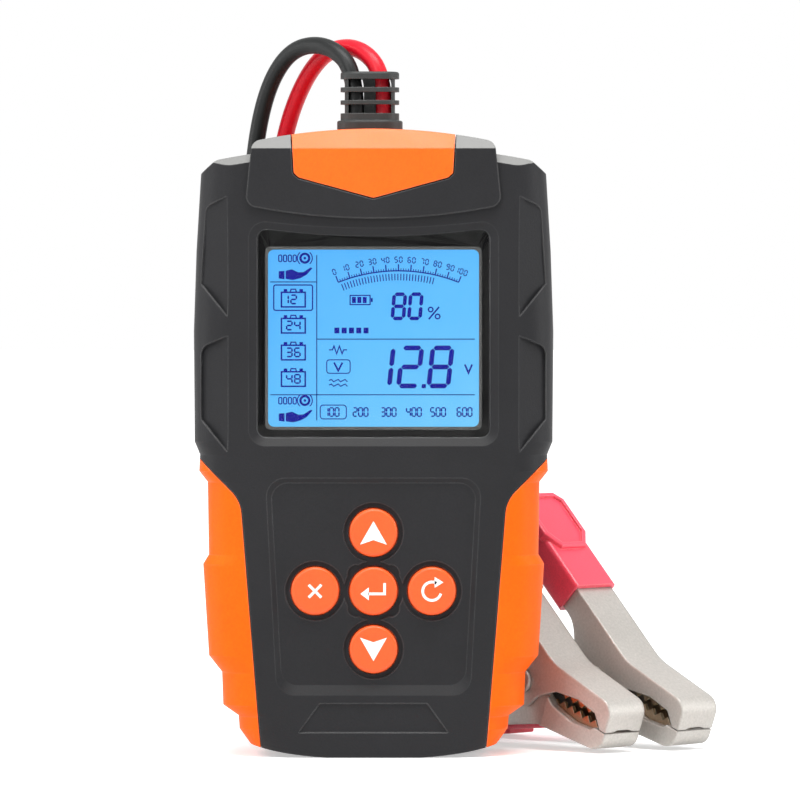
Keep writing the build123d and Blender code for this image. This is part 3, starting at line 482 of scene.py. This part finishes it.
INK = []
THIN = []
THIN += stroke([(-14.8, 87.8), (-14.8, 130.9)], 0.26)
THIN += stroke([(-26.9, 123.9), (-14.8, 123.9)], 0.26)
THIN += stroke([(-14.8, 109.0), (26.4, 109.0)], 0.26)
THIN += stroke([(-26.9, 94.5), (26.4, 94.5)], 0.26)

# gauge: scale arc with ticks and numbers outside it and level bars inside it
GX, GZ, GR = 6.5, 84.2, 42.6
HALF = 21.6


def on_gauge(share, radius):
    a = radians(90 + HALF - 2 * HALF * share)
    return GX + radius * cos(a), GZ + radius * sin(a)


INK += stroke([on_gauge(i / 40, GR) for i in range(41)], 0.32)
for i in range(51):
    reach = 0.65 if i % 5 else 1.7
    INK += stroke([on_gauge(i / 50, GR), on_gauge(i / 50, GR + reach)], 0.2 if i % 5 else 0.32)
for i in range(32):
    INK += stroke([on_gauge(0.02 + i / 40, GR - 2.5), on_gauge(0.02 + i / 40, GR - 0.75)], 0.26)
for i in range(11):
    text = str(10 * i)
    wide = 0.7 * len(text) + 0.5 * (len(text) - 1)
    x, z = on_gauge(i / 10, GR + 2.2)
    turn = HALF - 2 * HALF * i / 10
    INK += moved(number(text, -wide / 2, 0, 0.7, 1.4, 0.27, 0.5), x, z, turn)

INK += number("80", 4.9, 114.4, 2.9, 6.3, 0.95, 1.4, 0.08)
INK += stroke([(14.4, 114.2), (17.1, 117.4)], 0.42)
INK += stroke(disc(14.9, 116.7, 0.6, 12), 0.36, True) + stroke(disc(16.7, 114.9, 0.6, 12), 0.36, True)
INK += digit("1", -0.8, 96.8, 4.9, 9.9, 1.25, 0.11)
INK += digit("2", 6.5, 96.8, 5.0, 9.9, 1.25, 0.11)
INK += [[(12.5, 96.2), (13.6, 96.2), (13.7, 97.3), (12.6, 97.3)]]
INK += digit("8", 14.4, 96.8, 5.0, 9.9, 1.25, 0.11)
INK += stroke([(23.8, 102.4), (24.75, 100.2), (25.7, 102.4)], 0.46)


def battery(x, z, text):
    """Battery symbol with two terminals and a number in it."""
    wide, high = 6.2, 3.8
    shapes = stroke([(x, z), (x, z + high), (x + wide, z + high), (x + wide, z)], 0.4, True)
    top = z + high
    shapes += stroke([(x + 2.3, top), (x + 2.5, top + 0.8), (x + 3.7, top + 0.8), (x + 3.9, top)], 0.32)
    for side in (0.6, wide - 1.5):
        shapes.append([(x + side, top + 0.1), (x + side, top + 0.85),
                       (x + side + 0.9, top + 0.85), (x + side + 0.9, top + 0.1)])
    start = x + wide / 2 - 1.75 - (0.2 if text[0] == "1" else 0)
    return shapes + number(text, start, z + 0.85, 1.4, 2.2, 0.42, 0.7)


for i, z in enumerate((117.4, 110.6, 103.6, 96.7)):
    INK += battery(-24.0, z, str(12 * (i + 1)))
INK += stroke(round_box(-26.0, 116.5, -15.9, 123.1, 0.5), 0.32, True)


def cell(z):
    """Small ring over an open hand, with a row of marks, for choosing the row."""
    shapes = stroke(disc(-17.9, z + 4.8, 1.15, 20), 0.6, True) + [disc(-17.9, z + 4.8, 0.35, 12)]
    for side in (-50, 130):
        shapes += stroke(arc_points(-17.9, z + 4.8, 1.95, side, side + 100, 8), 0.28)
    for i in range(4):
        shapes += stroke(round_box(-24.7 + 1.25 * i, z + 3.9, -23.9 + 1.25 * i, z + 5.6, 0.3, 2), 0.3, True)
    shapes.append([(-24.7, z - 0.5), (-24.7, z + 1.4), (-23.2, z + 1.5), (-23.2, z - 0.7)])
    shapes.append([(-22.9, z - 0.6), (-22.9, z + 1.5), (-21.3, z + 1.9), (-19.6, z + 1.1), (-18.2, z + 1.2),
                   (-16.4, z + 2.4), (-15.9, z + 2.2), (-17.4, z + 0.5), (-19.0, z - 0.4), (-21.0, z - 0.9)])
    return shapes


INK += cell(125.3) + cell(88.2)

# a level row, a battery level mark and three kind-of-reading marks in place of words
for i in range(5):
    INK.append([(-10.2 + 1.9 * i, 110.5), (-10.2 + 1.9 * i, 112.0),
                (-8.9 + 1.9 * i, 112.0), (-8.9 + 1.9 * i, 110.5)])
INK += stroke([(-6.1, 118.0), (-6.1, 120.4), (-0.9, 120.4), (-0.9, 118.0)], 0.3, True)
INK.append([(-0.7, 118.7), (-0.7, 119.7), (-0.2, 119.7), (-0.2, 118.7)])
for i in range(3):
    INK.append([(-5.6 + 1.4 * i, 118.4), (-5.6 + 1.4 * i, 120.0),
                (-4.6 + 1.4 * i, 120.0), (-4.6 + 1.4 * i, 118.4)])
INK += stroke([(-11.6, 106.2), (-10.7, 106.2), (-10.3, 107.2), (-9.6, 105.2), (-8.9, 107.2), (-8.2, 105.2),
               (-7.8, 106.2), (-6.9, 106.2)], 0.3)
INK += stroke([(-10.3, 102.9), (-9.2, 100.8), (-8.1, 102.9)], 0.46)
INK += stroke(round_box(-12.2, 100.1, -6.1, 103.6, 0.7), 0.26, True)
for z in (97.0, 98.2):
    INK += stroke([(-11.6 + 0.6 * i, z + 0.35 * sin(2.1 * i)) for i in range(9)], 0.28)
for i, x in enumerate((-10.4, -3.4, 3.9, 10.5, 16.8, 23.7)):
    INK += number(str(i + 1) + "00", x - 1.9, 88.9, 1.0, 2.2, 0.36, 0.42)
INK += stroke(round_box(-13.9, 88.2, -7.1, 91.8, 0.8), 0.26, True)

plate("display_segments", INK, LCD_Y - INK_PROUD, LCD_Y + INK_SINK, NAVY)
plate("display_lines", THIN, LCD_Y - LINE_PROUD, LCD_Y + INK_SINK, LINES)

# ---------------------------------------------------------------- key legends


def legend(name, shapes, step):
    """White print on a key, placed by its step from the middle key."""
    x, z = step[0] * KEY_PITCH, KEY_MID_Z + step[1] * KEY_PITCH
    plate("legend_" + name, moved(shapes, x, z), KEY_Y - LEGEND_PROUD, KEY_Y + LEGEND_SINK, PRINT, name)


ARROW = [(0, 3.0), (-3.5, -3.1), (0, -1.9), (3.5, -3.1)]
legend("button_up", [[ARROW[0], ARROW[1], ARROW[2]], [ARROW[0], ARROW[2], ARROW[3]]], (0, 1))
flipped = [(x, -z) for x, z in ARROW]
legend("button_down", [[flipped[0], flipped[1], flipped[2]], [flipped[0], flipped[2], flipped[3]]], (0, -1))
CROSS = [(-1.9, -1.4), (-1.4, -1.9), (0, -0.5), (1.4, -1.9), (1.9, -1.4), (0.5, 0), (1.9, 1.4), (1.4, 1.9),
         (0, 0.5), (-1.4, 1.9), (-1.9, 1.4), (-0.5, 0)]
legend("button_left", [CROSS], (-1, 0))
legend("button_centre", stroke([(2.9, 2.1), (2.9, -0.7), (-1.4, -0.7)], 0.7)
       + [[(-3.4, -0.7), (-1.2, 1.0), (-1.2, -2.4)]], (0, 0))
legend("button_right", stroke(arc_points(0, 0, 2.4, 60, 345, 24), 0.7)
       + [[(0.7, 3.7), (0.7, 0.9), (3.0, 2.3)]], (1, 0))

# ---------------------------------------------------------------- floor and light


def studio_white(nt):
    """1 for rays that show the background itself: to the camera, in gloss and through glass."""
    path = add(nt, "LightPath")
    first = add(nt, "Math", {"operation": "MAXIMUM"}, i0=path.outputs["Is Camera Ray"],
                i1=path.outputs["Is Glossy Ray"]).outputs["Value"]
    return add(nt, "Math", {"operation": "MAXIMUM"}, i0=first,
               i1=path.outputs["Is Transmission Ray"]).outputs["Value"]


def floor_material():
    """Matt white floor that fades to the background away from the object."""
    made, nt, shader = new_material("floor")
    place = add(nt, "TexCoord").outputs["Object"]
    cloud = add(nt, "TexNoise", Vector=place, Scale=6.0, Detail=2.0).outputs["Fac"]
    nt.links.new(ramp(nt, cloud, [(0.3, (0.86, 0.86, 0.86, 1)), (0.7, (0.88, 0.88, 0.88, 1))]),
                 shader.inputs["Base Color"])
    shader.inputs["Roughness"].default_value = 0.9
    shader.inputs["Specular IOR Level"].default_value = 0.0
    shader.inputs["Emission Color"].default_value = (1, 1, 1, 1)
    out = add(nt, "VectorMath", {"operation": "LENGTH"}, i0=place).outputs["Value"]
    lift = add(nt, "MapRange", Value=out, i1=0.2, i2=1.2, i3=0.45, i4=1.0).outputs["Result"]
    glow = add(nt, "Math", {"operation": "MULTIPLY"}, i0=studio_white(nt), i1=lift).outputs["Value"]
    nt.links.new(glow, shader.inputs["Emission Strength"])
    return made


bm = bmesh.new()
FLOOR_HALF = 12.0
bmesh.ops.create_grid(bm, x_segments=1, y_segments=1, size=FLOOR_HALF)
floor = mesh_piece("floor", bm, floor_material(), None)

world = bpy.data.worlds.new("studio")
world.use_nodes = True
bpy.context.scene.world = world
background = world.node_tree.nodes["Background"]
background.inputs["Color"].default_value = (1, 1, 1, 1)
white = studio_white(world.node_tree)
WORLD_DIFFUSE = 0.34
level = add(world.node_tree, "MapRange", Value=white,
            i1=0.0, i2=1.0, i3=WORLD_DIFFUSE, i4=1.0).outputs["Result"]
world.node_tree.links.new(level, background.inputs["Strength"])


def area(name, place, aim, wide, high, power):
    """Rectangular light, in metres and watts."""
    light = bpy.data.lights.new(name, "AREA")
    light.shape = "RECTANGLE"
    light.size, light.size_y = wide, high
    light.energy = power
    made = bpy.data.objects.new(name, light)
    bpy.context.scene.collection.objects.link(made)
    made.location = place
    made.rotation_euler = (Vector(aim) - Vector(place)).to_track_quat("-Z", "Y").to_euler()


area("key_light", (-0.55, -0.9, 0.75), (0, 0, 0.09), 0.6, 0.6, 6.5)
area("top_light", (0.05, -0.28, 0.95), (0, 0, 0.12), 0.7, 0.35, 11.0)
area("left_light", (-0.95, -0.05, 0.3), (0, 0, 0.08), 0.25, 0.9, 3.6)
area("right_light", (0.95, -0.15, 0.35), (0, 0, 0.08), 0.3, 0.9, 4.2)

bpy.context.scene.view_settings.view_transform = "Standard"
